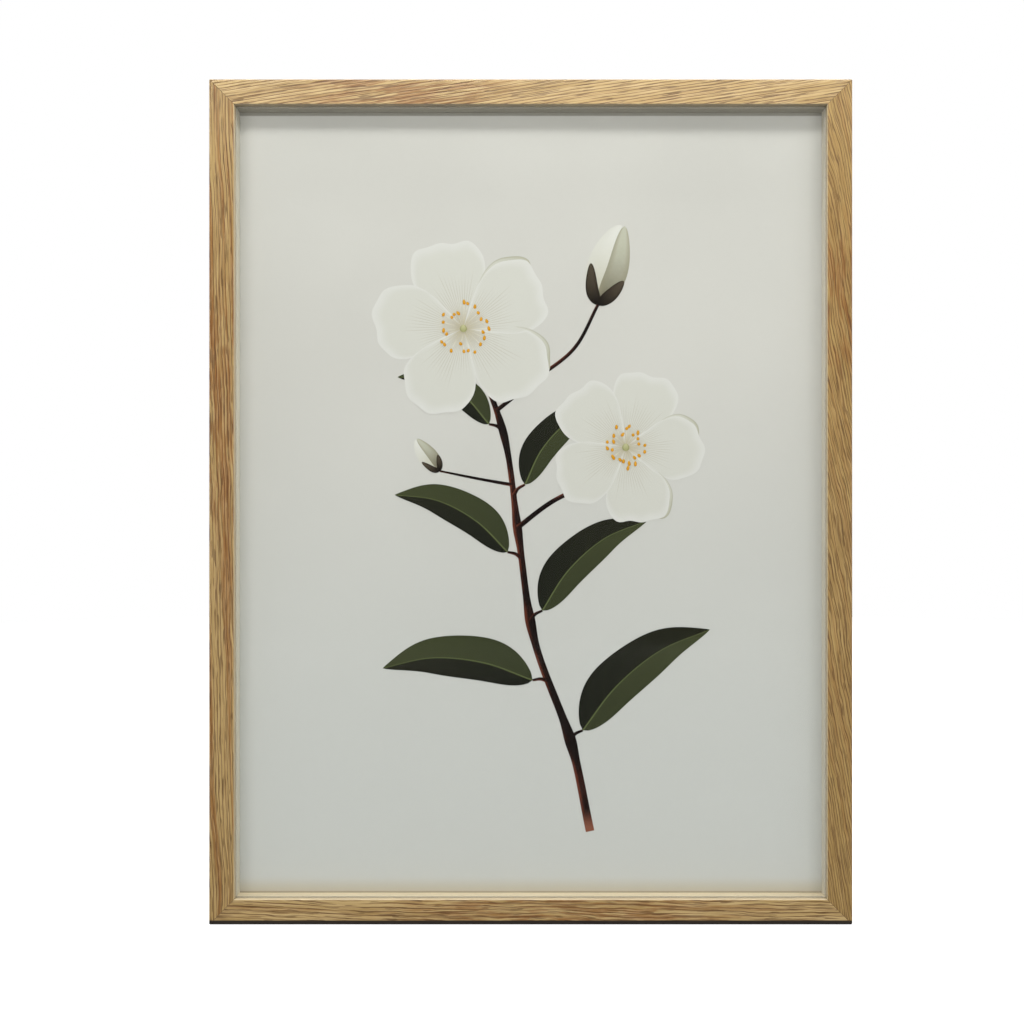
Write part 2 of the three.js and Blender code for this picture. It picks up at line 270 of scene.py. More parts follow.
def oak(name, upright, slope, ring, shift, wave, pale, streaky, brown_at, brown_width, reveal=LIT_LIP_REVEAL):
    """Flat-sawn oak for one moulding. slope is how fast the growth lines cross the face, ring how far apart
    they are and wave how far they wander; shift picks the piece of wood, pale lightens it and streaky adds
    long brown streaks. A browner zone is centred on brown_at and reaches brown_width each way. reveal is
    the lip's inner edge's tone: a painted highlight, and painted shade under the top rail. The front arris
    that the frame stands on carries a painted contact shadow."""
    s = Shader(name)
    x, y, z = s.split(s.coords())
    along, across = (z, x) if upright else (x, z)
    line = growth_field(s, along, across, y, slope, ring, shift, wave)
    grain = s.join(along, line, s.plus(y, shift))

    # the figure: dark growth lines, bands, streaks, fibres, pores and mottled patches
    early = growth_lines(s, line, along, shift, ring, 0.04, 0.38, 30 * MM, 0.3)
    hair = growth_lines(s, line, along, shift + 5, 0.57 * ring, 0.08, 0.5, 13 * MM, 0.44)
    band = s.between(s.noise(s.stretch(grain, (7.0, 230.0, 60.0)), 1.0, 2.0), 0.36, 0.64)
    streak = s.between(s.noise(s.stretch(grain, (6.0, 420.0, 120.0)), 1.0, 2.0), 0.54, 0.62)
    fibre = s.noise(s.stretch(grain, (45.0, 1700.0, 700.0)), 1.0, 4.0, 0.65)
    pores = s.between(s.noise(s.stretch(grain, (80.0, 1300.0, 600.0)), 1.0, 1.0), 0.59, 0.64)
    mottle = s.noise(s.stretch(grain, (42.0, 420.0, 90.0)), 1.0, 3.0, 0.6)
    zone = brown_zone(s, along, mottle, brown_at, brown_width)

    # its tones, laid over each other
    straw = s.mix(pale, srgb(146, 119, 66), srgb(196, 170, 120))
    silver = s.mix(pale, srgb(178, 150, 97), srgb(216, 194, 153))
    colour = s.mix(s.times(band, 0.8 - 0.4 * pale), straw, srgb(138, 110, 60))
    colour = s.mix(s.times(streak, streaky), colour, srgb(126, 80, 26))
    colour = s.mix(s.times(zone, 0.7), colour, srgb(122, 76, 24))
    colour = s.mix(s.times(s.between(fibre, 0.46, 0.6), 0.42), colour, silver)
    colour = s.mix(s.times(hair, 0.65), colour, srgb(88, 50, 14))
    colour = s.mix(s.times(early, 0.88), colour, srgb(74, 38, 9))
    colour = s.mix(s.times(pores, 0.6), colour, srgb(76, 48, 18))
    # the lip's inner edge takes a painted highlight, and painted shade under the top rail
    colour = s.mix(s.times(lip_edge(s, across, upright), 0.65), colour, srgb(*reveal))
    # painted contact shadow, near black, on the front arris that the frame stands on
    colour = s.mix(s.times(painted_foot_shadow(s, y, z), 0.97), colour, srgb(16, 9, 4))

    # fibres stand up a little, pores and dark lines lie lower
    relief = s.minus(s.times(fibre, 0.5), pores)
    relief = s.minus(relief, s.times(s.plus(early, hair), 0.4))
    gloss = s.between(s.plus(fibre, early), 0.3, 1.5, 0.38, 0.56)
    normal = s.bump(relief, 0.4, 0.1 * MM)
    return s.finish(s.principled(Base_Color=colour, Roughness=gloss, Normal=normal))


def dried_glue():
    """Wood glue dried in a joint, darkened by sanding dust."""
    s = Shader("dried_glue")
    dust = s.noise(s.coords(), 1800.0, 3.0, 0.6)
    colour = s.mix(s.between(dust, 0.35, 0.65), srgb(66, 44, 24), srgb(92, 66, 38))
    return s.finish(s.principled(Base_Color=colour, Roughness=0.7, Normal=s.bump(dust, 0.2, 0.03 * MM)))


def glue_line(name, side, level, material):
    """The glue in one mitre, just below the wood's surface all round. side and level are -1 or 1, for the
    corner's place in X and Z."""
    back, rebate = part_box("bottom_rail")[1].y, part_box("backing_board")[0].z
    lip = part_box("glazing")[0].y
    below = 0.15 * MM  # under the wood's surface
    arris = 1.1 * MM  # room left for the eased arrises
    thick = 0.05 * MM  # half the line's thickness, along X and along Z
    outside = [(below, back - arris), (below, FRONT_Y + arris), (arris, FRONT_Y + below)]
    edge = [(FACE - arris, FRONT_Y + below), (FACE - below, FRONT_Y + arris), (FACE - below, lip - below)]
    behind = [(rebate - arris, lip - below), (rebate - arris, back - below), (arris, back - below)]
    profile = outside + edge + behind
    bm = bmesh.new()
    rings = []
    for offset in (-thick, thick):
        ring = []
        for depth, y in profile:
            x = OUTER_MIDDLE.x + side * (OUTER_HALF.x - depth + offset)
            z = OUTER_MIDDLE.z + level * (OUTER_HALF.z - depth - offset)
            ring.append(bm.verts.new((x, y, z)))
        rings.append(ring)
        bm.faces.new(ring)
    near, far = rings
    for i in range(len(profile)):
        after = (i + 1) % len(profile)
        bm.faces.new((near[i], near[after], far[after], far[i]))
    bmesh.ops.recalc_face_normals(bm, faces=bm.faces)
    piece = add_object(name, bm, [material])
    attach(piece, "frame")


# --- The pack -------------------------------------------------------------------------------------


def paper():
    """Matt art paper, printed all over in a grey that cools a little towards its foot, with a painted warm
    reflection just above the bottom spacer and a painted shade line where it meets the top and the bottom
    spacer."""
    s = Shader("art_paper")
    coords = s.coords()
    tooth = s.noise(coords, 2600.0, 4.0, 0.65)
    wash = s.noise(coords, 9.0, 2.0, 0.5)
    colour = s.mix(s.between(wash, 0.3, 0.7), srgb(188, 188, 182), srgb(192, 192, 186))
    above = s.minus(s.split(coords)[2], SIGHT_FOOT)
    colour = s.mix(s.between(above, 40 * MM, 300 * MM, 1.0, 0.0), colour, srgb(190, 193, 189))
    colour = s.mix(s.times(tooth, 0.1), colour, srgb(178, 178, 171))
    # painted warm reflection of the lit bottom lip, just above the bottom spacer
    colour = s.mix(s.between(above, 0.0, 9 * MM, 0.5, 0.0), colour, srgb(164, 148, 112))
    # painted shade line where the sheet meets the bottom spacer
    colour = s.mix(s.between(above, 0.2 * MM, 1.1 * MM, 0.55, 0.0), colour, srgb(116, 100, 74))
    below = s.minus(SIGHT_TOP, s.split(coords)[2])
    # painted shade line under the top spacer, lengthening the shadow of the top rail
    colour = s.mix(s.between(below, 1.2 * MM, 1.9 * MM, 0.7, 0.0), colour, srgb(104, 100, 88))
    normal = s.bump(tooth, 0.15, 0.03 * MM)
    gloss = s.between(tooth, 0.3, 0.7, 0.72, 0.85)
    return s.finish(s.principled(Base_Color=colour, Roughness=gloss, Normal=normal))


def glass():
    """Clear picture glass: what is behind it shows, with a thin reflection that grows at a slant."""
    s = Shader("picture_glass")
    clear = s.node("BsdfTransparent", {"Color": (0.985, 0.985, 0.98, 1.0)}).outputs[0]
    smudge = s.noise(s.coords(), 24.0, 3.0, 0.6)
    rough = s.between(smudge, 0.3, 0.8, 0.04, 0.1)
    sheen = s.node("BsdfGlossy", {"Color": (1.0, 1.0, 1.0, 1.0), "Roughness": rough}).outputs[0]
    share = s.times(s.node("Fresnel", {"IOR": 1.45}).outputs[0], 0.2)
    return s.finish(s.node("MixShader", {0: share, 1: clear, 2: sheen}).outputs[0])


def spacer(name, deep, pale):
    """An extruded strip between the tones deep and pale, with fine die lines along it, a little dust, and
    bare white edges against the glass and the print."""
    s = Shader(name)
    x, y, z = s.split(s.coords())
    die = s.noise(s.join(s.times(x, 30.0), s.times(y, 5200.0), s.times(z, 30.0)), 1.0, 2.0)
    dust = s.noise(s.coords(), 900.0, 3.0, 0.6)
    colour = s.mix(s.between(die, 0.35, 0.65), deep, pale)
    colour = s.mix(s.between(s.facing(), 0.8, 0.95), colour, srgb(224, 219, 204))
    colour = s.mix(s.times(s.between(dust, 0.55, 0.8), 0.35), colour, srgb(164, 152, 128))
    gloss = s.between(dust, 0.3, 0.7, 0.5, 0.66)
    return s.finish(s.principled(Base_Color=colour, Roughness=gloss, Normal=s.bump(die, 0.2, 0.04 * MM)))


def board(name, face, core):
    """A paper-faced board: face colour on both sides, core colour on the cut edges."""
    s = Shader(name)
    fleck = s.noise(s.coords(), 1500.0, 4.0, 0.7)
    colour = s.mix(s.between(s.facing(), 0.4, 0.6), core, face)
    colour = s.mix(s.times(s.between(fleck, 0.5, 0.8), 0.25), colour, srgb(176, 168, 150))
    return s.finish(s.principled(Base_Color=colour, Roughness=0.85, Normal=s.bump(fleck, 0.2, 0.04 * MM)))


def fibreboard():
    """Raw MDF: finely mottled warm brown, with short pale upright fibres, darker clouds and faint sanding
    lines."""
    s = Shader("raw_fibreboard")
    coords = s.coords()
    x, y, z = s.split(coords)
    chips = s.noise(coords, 850.0, 5.0, 0.72)
    hair = s.noise(s.join(s.times(x, 2600.0), y, s.times(z, 500.0)), 1.0, 3.0, 0.6)
    cloud = s.noise(coords, 11.0, 3.0, 0.6)
    sanding = s.noise(s.join(s.times(x, 3400.0), y, s.times(z, 14.0)), 1.0, 1.0)
    colour = s.mix(s.between(chips, 0.36, 0.66), srgb(134, 104, 70), srgb(168, 136, 96))
    colour = s.mix(s.times(s.between(hair, 0.58, 0.74), 0.55), colour, srgb(196, 168, 126))
    colour = s.mix(s.times(s.between(cloud, 0.35, 0.7), 0.3), colour, srgb(128, 98, 66))
    colour = s.mix(s.times(s.between(sanding, 0.5, 0.75), 0.14), colour, srgb(186, 158, 118))
    height = s.plus(chips, s.times(hair, 0.6))
    return s.finish(s.principled(Base_Color=colour, Roughness=0.8, Normal=s.bump(height, 0.35, 0.06 * MM)))


# --- Metal and felt -------------------------------------------------------------------------------


def zinc(name, tone, rough):
    """Zinc-plated steel: dull bright, clouded by the plating, with fine scratches and tarnish flecks."""
    s = Shader(name)
    coords = s.coords()
    x, y, z = s.split(coords)
    cloud = s.noise(coords, 420.0, 3.0, 0.6)
    scratch = s.noise(s.join(s.times(x, 700.0), s.times(y, 700.0), s.times(z, 6200.0)), 1.0, 2.0)
    fleck = s.noise(coords, 2300.0, 3.0, 0.7)
    dull, bright = srgb(tone - 22, tone - 18, tone - 12), srgb(tone + 6, tone + 6, tone + 4)
    colour = s.mix(s.between(cloud, 0.3, 0.7), dull, bright)
    colour = s.mix(s.times(s.between(fleck, 0.62, 0.75), 0.5), colour, srgb(122, 112, 96))
    gloss = s.plus(s.between(cloud, 0.3, 0.7, rough, rough + 0.14), s.times(scratch, 0.1))
    normal = s.bump(scratch, 0.12, 0.03 * MM)
    return s.finish(s.principled(Base_Color=colour, Metallic=1.0, Roughness=gloss, Normal=normal))


def felt():
    """Dense dark grey felt, with matted fibres."""
    s = Shader("felt_pad")
    coords = s.coords()
    mat = s.noise(coords, 2400.0, 5.0, 0.75)
    knots = s.cells(coords, 1500.0)
    colour = s.mix(s.between(mat, 0.35, 0.7), srgb(40, 41, 43), srgb(84, 84, 86))
    height = s.plus(mat, s.times(knots, 0.5))
    normal = s.bump(height, 0.7, 0.15 * MM)
    return s.finish(s.principled(Base_Color=colour, Roughness=0.95, Sheen_Weight=0.3, Normal=normal))


def paint(names, material):
    """Gives the material to the CAD nodes with these names."""
    for name in names:
        node = frame["nodes"][name]
        node.data.materials.clear()
        node.data.materials.append(material)


# --- Printed inks ---------------------------------------------------------------------------------
# Every printed shape carries "ink": across it from -1 to 1, along it from 0 to 1, and the distance from
# its middle line in millimetres, which stays 0 in petals.


def ink(s, colour):
    """Flat printing ink, that throws back next to nothing of the room."""
    return s.finish(s.principled(Base_Color=colour, Roughness=0.8, Specular_IOR_Level=0.08))


def ink_leaf():
    """Two flat greens that meet at a thin pale midrib, with faint side veins."""
    s = Shader("ink_leaf")
    across, along, off = s.split(s.attribute("ink"))
    upper = s.between(off, -0.08, 0.08)
    fall = s.minus(along, s.times(s.absolute(across), 0.2))
    vein = s.absolute(s.minus(s.fraction(s.times(fall, 7.0)), 0.5))
    vein = s.times(s.between(vein, 0.012, 0.035, 1.0, 0.0), s.between(across, -0.95, 0.9, 1.0, 0.5))
    shade = s.between(along, 0.0, 1.0)
    low = s.mix(shade, srgb(50, 55, 34), srgb(58, 63, 39))
    high = s.mix(shade, srgb(23, 25, 17), srgb(31, 32, 22))
    colour = s.mix(upper, low, high)
    colour = s.mix(s.times(vein, 0.1), colour, srgb(96, 108, 74))
    half = s.between(along, 0.0, 1.0, 0.36, 0.14)
    rib = s.between(s.minus(s.absolute(off), half), -0.1, 0.08, 1.0, 0.0)
    colour = s.mix(s.times(rib, 0.7), colour, srgb(98, 108, 66))
    return ink(s, colour)


def ink_petal(name, middle, rim):
    """A pale wash, lighter at the rim, with fine warm veins that fan out from the flower's heart."""
    s = Shader(name)
    across, along, _ = s.split(s.attribute("ink"))
    count = s.times(across, 11.0)
    vein = s.absolute(s.minus(s.fraction(count), 0.5))
    half = s.between(along, 0.1, 0.9, 0.09, 0.03)
    vein = s.between(s.minus(vein, half), -0.02, 0.03, 1.0, 0.0)
    reach = s.noise(s.join(s.math("FLOOR", count), 0.0, 0.0), 3.1, 0.0)
    far = s.plus(s.times(reach, 0.5), 0.45)
    vein = s.times(vein, s.between(s.minus(along, far), -0.3, 0.0, 1.0, 0.0))
    off_centre = s.absolute(across)
    vein = s.times(vein, s.between(off_centre, 0.84, 0.9, 1.0, 0.0))
    edge = s.math("MAXIMUM", s.between(off_centre, 0.8, 1.0), s.between(along, 0.85, 1.0))
    colour = s.mix(edge, middle, rim)
    colour = s.mix(s.between(along, 0.0, 0.3, 0.85, 0.0), colour, srgb(178, 171, 150))
    colour = s.mix(s.times(vein, s.between(along, 0.05, 0.85, 0.85, 0.45)), colour, srgb(160, 153, 134))
    return ink(s, colour)


def ink_fade(name, start, end, edge):
    """A wash that runs from start to end along the shape, and towards edge at its sides."""
    s = Shader(name)
    across, along, _ = s.split(s.attribute("ink"))
    grain = s.noise(s.coords(), 700.0, 2.0)
    colour = s.mix(s.between(s.plus(along, s.times(grain, 0.1)), 0.05, 1.0), start, end)
    rim = s.between(s.absolute(across), 0.35, 1.0)
    colour = s.mix(s.times(rim, 0.6), colour, edge)
    return ink(s, colour)


def ink_stem():
    """Near-black bark that turns red-brown in patches, along one side and at the cut foot."""
    s = Shader("ink_stem")
    across = s.split(s.attribute("ink"))[0]
    patch = s.noise(s.coords(), 38.0, 2.0, 0.5)
    lit = s.times(s.between(across, 0.1, 0.8), s.between(patch, 0.42, 0.6))
    colour = s.mix(s.times(s.between(patch, 0.45, 0.68), 0.5), srgb(17, 9, 7), srgb(58, 25, 17))
    colour = s.mix(s.times(lit, 0.7), colour, srgb(112, 58, 40))
    above = s.minus(s.split(s.coords())[2], PRINT_MIDDLE.z + STEM[0][1] * MM)
    cut = s.between(above, 0.0, 12 * MM, 1.0, 0.0)
    colour = s.mix(cut, colour, srgb(128, 78, 60))
    return ink(s, colour)


# --- Printed shapes -------------------------------------------------------------------------------
# A generic sprig: an upright stem, leaves in turn to each side, two five-petalled blossoms and two buds.
# Drawn in millimetres from the middle of the sheet, X to the right and Z up. Angles are degrees clockwise
# from straight up. Each layer of ink lies a little nearer the viewer than the one before.

INK_STEP = 0.004 * MM  # from one layer of ink to the next
INK_BODY = 0.003 * MM  # how thick each layer is
STEM = [(30, -166), (20, -120), (2, -70), (-6, -18), (-14, 36), (-34, 88)]
LEAVES = 6
PETALS = 5
PETAL_HALF = 43.0  # degrees from a petal's middle line to its side
STAMENS = 24
STEM_LAYER, LEAF_LAYER, BUD_LAYER, PETAL_LAYER, STAMEN_LAYER = 6, 12, 20, 26, 36


def turn(degrees):
    """The direction at these degrees, as a vector of length 1."""
    return Vector((math.sin(math.radians(degrees)), math.cos(math.radians(degrees))))


def smooth_path(points):
    """A function from 0..1 to a point on a smooth curve through the points."""
    spots = [Vector(p) for p in points]
    spots = [2 * spots[0] - spots[1], *spots, 2 * spots[-1] - spots[-2]]
    spans = len(spots) - 3

    def at(t):
        span = min(int(t * spans), spans - 1)
        f = t * spans - span
        a, b, c, d = spots[span : span + 4]
        square, cube = 2 * a - 5 * b + 4 * c - d, 3 * b - a - 3 * c + d
        return 0.5 * ((2 * b) + (c - a) * f + square * f * f + cube * f**3)

    return at


def heading(path, t):
    """The direction that a path runs in at t."""
    return (path(min(t + 0.01, 1.0)) - path(max(t - 0.01, 0.0))).normalized()


def oval(width):
    """Half the width of a pointed oval, as a function of the place along it."""
    return lambda t: width * max(math.sin(math.pi * t**0.85), 0.0) ** 0.55


class Ink:
    """One printed piece: flat shapes that share a few inks."""

    def __init__(self, name):
        self.name = name
        self.bm = bmesh.new()
        self.ink = self.bm.verts.layers.float_vector.new("ink")
        self.materials = []

    def patch(self, material, place, layer, along, across):
        """A shape whose point for u, -1 to 1 across, and t, 0 to 1 along, is place(u, t). place also gives
        how far the point is from the shape's middle line."""
        if material not in self.materials:
            self.materials.append(material)
        y = PRINT_LOW.y - (layer + 1) * INK_STEP
        rows = []
        for i in range(along + 1):
            row = []
            for j in range(across + 1):
                u, t = 2 * j / across - 1, i / along
                spot, off = place(u, t)
                vert = self.bm.verts.new((PRINT_MIDDLE.x + spot.x * MM, y, PRINT_MIDDLE.z + spot.y * MM))
                vert[self.ink] = (u, t, off)
                row.append(vert)
            rows.append(row)
        for low, high in zip(rows, rows[1:]):
            for j in range(across):
                face = self.bm.faces.new((low[j], low[j + 1], high[j + 1], high[j]))
                face.material_index = self.materials.index(material)
                face.normal_update()
                if face.normal.y > 0:
                    face.normal_flip()

    def sweep(self, material, path, left, right, layer, along=36, across=8):
        """A shape along path, left(t) wide on its left and right(t) on its right."""

        def place(u, t):
            ahead = heading(path, t)
            off = u * (left(t) if u > 0 else right(t))
            return path(t) + Vector((-ahead.y, ahead.x)) * off, off

        self.patch(material, place, layer, along, across)

    def finish(self):
        bmesh.ops.remove_doubles(self.bm, verts=self.bm.verts, dist=0.001 * MM)
        piece = add_object(self.name, self.bm, self.materials)
        body = piece.modifiers.new("body", "SOLIDIFY")
        body.thickness = INK_BODY
        body.offset = -1
        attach(piece, "frame")


def leaf(sheet, material, base, lean, length, bend, layer):
    """A pointed leaf whose midrib is bowed by bend, a little fuller on its upper half."""
    ahead = turn(lean)
    lift = Vector((-ahead.y, ahead.x)) * bend
    run = ahead * length
    rib = smooth_path([base, base + run * 0.33 + lift * 0.85, base + run * 0.68 + lift * 0.9, base + run])

    def half(share, phase):
        def at(t):
            ripple = 1 + 0.05 * math.sin(3 * math.pi * t + phase)
            return share * length * math.sin(math.pi * t**0.75) ** 0.85 * ripple

        return at

    upper, lower = half(0.17, 0.0), half(0.13, 1.6)
    left, right = (upper, lower) if ahead.x > 0 else (lower, upper)
    sheet.sweep(material, rib, left, right, layer, along=48, across=16)


def petal(sheet, material, heart, lean, length, layer, phase):
    """A broad petal that opens as a fan from the blossom's heart. Returns its place function."""

    def place(u, t):
        u = 0.985 * u
        lobe = (1 - abs(u) ** 3.2) ** 0.48
        ripple = 1 + 0.03 * math.sin(6 * u + phase) + 0.014 * math.sin(15 * u + 2 * phase)
        return heart + turn(lean + PETAL_HALF * u) * length * (0.03 + 0.97 * t) * lobe * ripple, 0.0

    sheet.patch(material, place, layer, along=24, across=36)
    return place


def lip(sheet, material, place, start, end, width, layer):
    """A turned-over edge on a petal, between two places across its tip."""
    steps = 8
    edge = smooth_path([place(start + (end - start) * i / steps, 1.0)[0] for i in range(steps + 1)])

    def half(t):
        return width * max(math.sin(math.pi * t), 0.0) ** 0.7

    def thin(t):
        return 0.1 * half(t)

    sheet.sweep(material, edge, thin, half, layer, along=30, across=6)


def twig(sheet, material, points, start, end, layer, knots=()):
    """A tapering stem, swollen at its knots."""

    def half(t):
        width = start + (end - start) * t
        return width + sum(0.5 * width * math.exp(-(((t - k) / 0.03) ** 2)) for k in knots)

    sheet.sweep(material, smooth_path(points), half, half, layer, along=12 * len(points), across=6)


def bud(sheet, white, shaded, sepal, base, lean, length, layer):
    """A closed bud: a pale body, a shaded side petal and two sepals round its foot."""
    width = 0.24 * length
    run = turn(lean) * length
    side = turn(lean + 90)
    body = smooth_path([base, base + run * 0.5 - side * 0.08 * width, base + run])
    sheet.sweep(white, body, oval(width), oval(0.8 * width), layer)
    bulge = base + run * 0.45 + side * 0.45 * width
    cheek = smooth_path([base + side, bulge, base + run + side * 0.2 * width])
    sheet.sweep(shaded, cheek, oval(0.55 * width), oval(0.55 * width), layer + 1)
    for order, (out, reach) in enumerate(((-1, 0.46), (1, 0.36))):
        knee = base + run * 0.16 + side * out * 0.5 * width
        line = smooth_path([base, knee, base + run * reach + side * out * 0.92 * width])
        sheet.sweep(sepal, line, oval(0.32 * width), oval(0.32 * width), layer + 2 + order)


def thread_half(t):
    """Half the width of a stamen's thread, the same all along it."""
    return 0.16


def stamens(sheet, thread, gold, pale, heart, reach, dice):
    """A ring of fine threads round a pale pistil, each tipped with a golden anther."""
    for i in range(STAMENS):
        tip = heart + turn(360 * i / STAMENS + dice.uniform(-6, 6)) * reach * dice.uniform(0.55, 1.0)
        line = smooth_path([heart, (heart + tip) / 2 + Vector((dice.uniform(-0.5, 0.5), 0.0)), tip])
        sheet.sweep(thread, line, thread_half, thread_half, STAMEN_LAYER + i, along=8, across=2)
        grain = turn(dice.uniform(-40, 40)) * dice.uniform(0.9, 1.4)
        anther = smooth_path([tip - grain, tip, tip + grain])
        sheet.sweep(gold, anther, oval(0.75), oval(0.75), STAMEN_LAYER + STAMENS + i, along=8, across=4)
    foot, top = heart - turn(0) * 1.9, heart + turn(0) * 1.9
    pistil = smooth_path([foot, heart, top])
    sheet.sweep(pale, pistil, oval(1.8), oval(1.8), STAMEN_LAYER + 2 * STAMENS, along=16, across=6)


def print_blossom(name, heart, length, lean, seed):
    """An open blossom of nearly equal petals, each lying over those drawn before it."""
    wash = ink_petal(name + "_petal_ink", srgb(193, 194, 186), srgb(201, 202, 197))
    turned = ink_fade(name + "_lip_ink", srgb(170, 170, 152), srgb(190, 191, 179), srgb(148, 147, 128))
    thread = ink_fade(name + "_thread_ink", srgb(172, 164, 134), srgb(204, 203, 190), srgb(184, 180, 158))
    gold = ink_fade(name + "_anther_ink", srgb(192, 134, 26), srgb(206, 158, 44), srgb(160, 98, 22))
    pale = ink_fade(name + "_pistil_ink", srgb(150, 152, 104), srgb(178, 178, 136), srgb(120, 122, 78))
    dice = random.Random(seed)
    sheet = Ink(name)
    heart = Vector(heart)
    for i in range(PETALS):
        angle = lean + 360 * (2 * i % PETALS) / PETALS + dice.uniform(-4, 4)
        reach = length * dice.uniform(0.94, 1.06)
        place = petal(sheet, wash, heart, angle, reach, PETAL_LAYER + i, dice.uniform(0, 6))
        if i % 2:
            side = dice.choice((-1, 1))
            lip(sheet, turned, place, 0.25 * side, 0.92 * side, 0.035 * length, PETAL_LAYER + PETALS)
    stamens(sheet, thread, gold, pale, heart, 0.29 * length, dice)
    sheet.finish()


def print_sprig():
    """The stem with its leaves and side stalks, and the blossoms and buds that these end in."""
    bark, green = ink_stem(), ink_leaf()
    white = ink_fade("bud_white_ink", srgb(178, 177, 160), srgb(206, 207, 200), srgb(196, 197, 188))
    shaded = ink_fade("bud_shade_ink", srgb(108, 104, 84), srgb(176, 177, 160), srgb(136, 133, 112))
    sepal = ink_fade("sepal_ink", srgb(18, 14, 10), srgb(70, 62, 50), srgb(30, 24, 18))
    stems, leaves, buds = Ink("print_stems"), Ink("print_leaves"), Ink("print_buds")
    main = smooth_path(STEM)
    twig(stems, bark, STEM, 2.2, 1.2, STEM_LAYER, (0.2, 0.44, 0.62, 0.8))
    for i in range(LEAVES):
        t, side = 0.2 + 0.12 * i, 1 - 2 * (i % 2)
        ahead = heading(main, t)
        lean = math.degrees(math.atan2(ahead.x, ahead.y)) + side * (68 - 4 * i)
        base = main(t) + turn(lean) * 8
        stalk = [main(t), main(t) + turn(lean - side * 14) * 4, base]
        twig(stems, bark, stalk, 1.1, 0.6, STEM_LAYER + 1 + i % 2)
        leaf(leaves, green, base, lean, 82 - 6 * i, 8 * side, LEAF_LAYER + i)
    twig(stems, bark, [main(0.62), (10, 0), (32, 12), (48, 28)], 1.3, 0.9, STEM_LAYER + 3, (0.6,))
    twig(stems, bark, [main(0.84), (2, 62), (22, 78), (34, 100)], 1.1, 0.8, STEM_LAYER + 4, (0.35,))
    twig(stems, bark, [main(0.7), (-26, 12), (-46, 16)], 0.9, 0.5, STEM_LAYER + 5)
    bud(buds, white, shaded, sepal, Vector((34, 100)), 16, 42, BUD_LAYER)
    bud(buds, white, shaded, sepal, Vector((-46, 16)), -38, 20, BUD_LAYER)
    for sheet in (stems, leaves, buds):
        sheet.finish()
    print_blossom("print_upper_blossom", STEM[-1], 47, -14, 7)
    print_blossom("print_lower_blossom", (48, 28), 39, 22, 11)


# --- Fittings on the back -------------------------------------------------------------------------

# The pad's outline: share of its radius against share of its thickness.
PAD_OUTLINE = [(0.94, 0.0), (0.99, 0.1), (1.0, 0.3), (0.99, 0.55), (0.96, 0.74), (0.9, 0.88)]
PAD_OUTLINE += [(0.8, 0.95), (0.66, 0.98), (0.5, 0.985), (0.34, 0.99), (0.18, 0.99)]


def felt_pad(node, material, seed):
    """A round felt pad on the frame's back: soft rim, slightly crowned, with a matted surface."""
    low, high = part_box(node)
    middle = (low + high) / 2
    radius, thick = (high.x - low.x) / 2, high.y - low.y
    dice = random.Random(seed)
    segments = 48
    bm = bmesh.new()
    rings = []
    for share, rise in PAD_OUTLINE:
        ring = []
        for i in range(segments):
            angle = 2 * math.pi * i / segments
            r = radius * (share - dice.uniform(0.0, 0.02))
            y = low.y + thick * (rise - (dice.uniform(0.0, 0.03) if rise else 0.0))
            ring.append(bm.verts.new((middle.x + r * math.cos(angle), y, middle.z + r * math.sin(angle))))
        rings.append(ring)
    for inner, outer in zip(rings, rings[1:]):
        for i in range(segments):
            after = (i + 1) % segments
            bm.faces.new((inner[i], inner[after], outer[after], outer[i]))
    bm.faces.new(rings[0])
    bm.faces.new(rings[-1])
    bmesh.ops.recalc_face_normals(bm, faces=bm.faces)
    piece = add_object(node + "_felt", bm, [material])
    piece.data.polygons.foreach_set("use_smooth", [True] * len(piece.data.polygons))
    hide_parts(node)
    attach(piece, "frame")


# --- Stage, light and camera ----------------------------------------------------------------------

ROOM_LIGHT = 0.35  # how strongly the white room lights the frame
LIGHTS = [  # name, place, what it is aimed at, width and height, watts, whether it shows in reflections
    ("key", (0.05, FRONT_Y - 0.26, 0.636), (0.0, FRONT_Y, 0.40), (0.8, 0.068), 1.75, True),
    ("fill", (0.0, FRONT_Y - 1.4, 0.2), (0.0, FRONT_Y, 0.15), (2.4, 0.36), 16.0, False),
    ("top", (0.0, FRONT_Y - 0.16, 1.5), (0.0, FRONT_Y - 0.16, 0.0), (1.4, 0.26), 18.0, True),
    ("back", (0.3, 1.7, 1.1), (0.0, 0.0, 0.2), (1.6, 1.2), 22.0, True),
    ("left_side", (-1.4, 0.45, 0.45), (0.0, 0.0, 0.2), (1.0, 1.2), 12.0, True),
    ("right_side", (1.4, 0.45, 0.45), (0.0, 0.0, 0.2), (1.0, 1.2), 12.0, True),
]


def area_light(name, spot, target, size, power, mirrored):
    """A rectangular light at spot, aimed at target."""
    data = bpy.data.lights.new(name, "AREA")
    data.shape = "RECTANGLE"
    data.size, data.size_y = size
    data.energy = power
    light = bpy.data.objects.new(name, data)
    light.location = spot
    light.rotation_euler = (Vector(target) - Vector(spot)).to_track_quat("-Z", "Y").to_euler()
    light.visible_glossy = mirrored
    bpy.context.scene.collection.objects.link(light)


def camera_only(tree, low, high):
    """A value that is high where the camera looks and low for all other light."""
    seen = tree.nodes.new("ShaderNodeLightPath").outputs["Is Camera Ray"]
    level = tree.nodes.new("ShaderNodeMapRange")
    level.inputs["To Min"].default_value = low
    level.inputs["To Max"].default_value = high
    tree.links.new(seen, level.inputs["Value"])
    return level.outputs[0]


FLOOR_RADIUS = 2.2
FLOOR_GLOW = 0.93  # how white the floor shows to the camera, apart from the light that falls on it


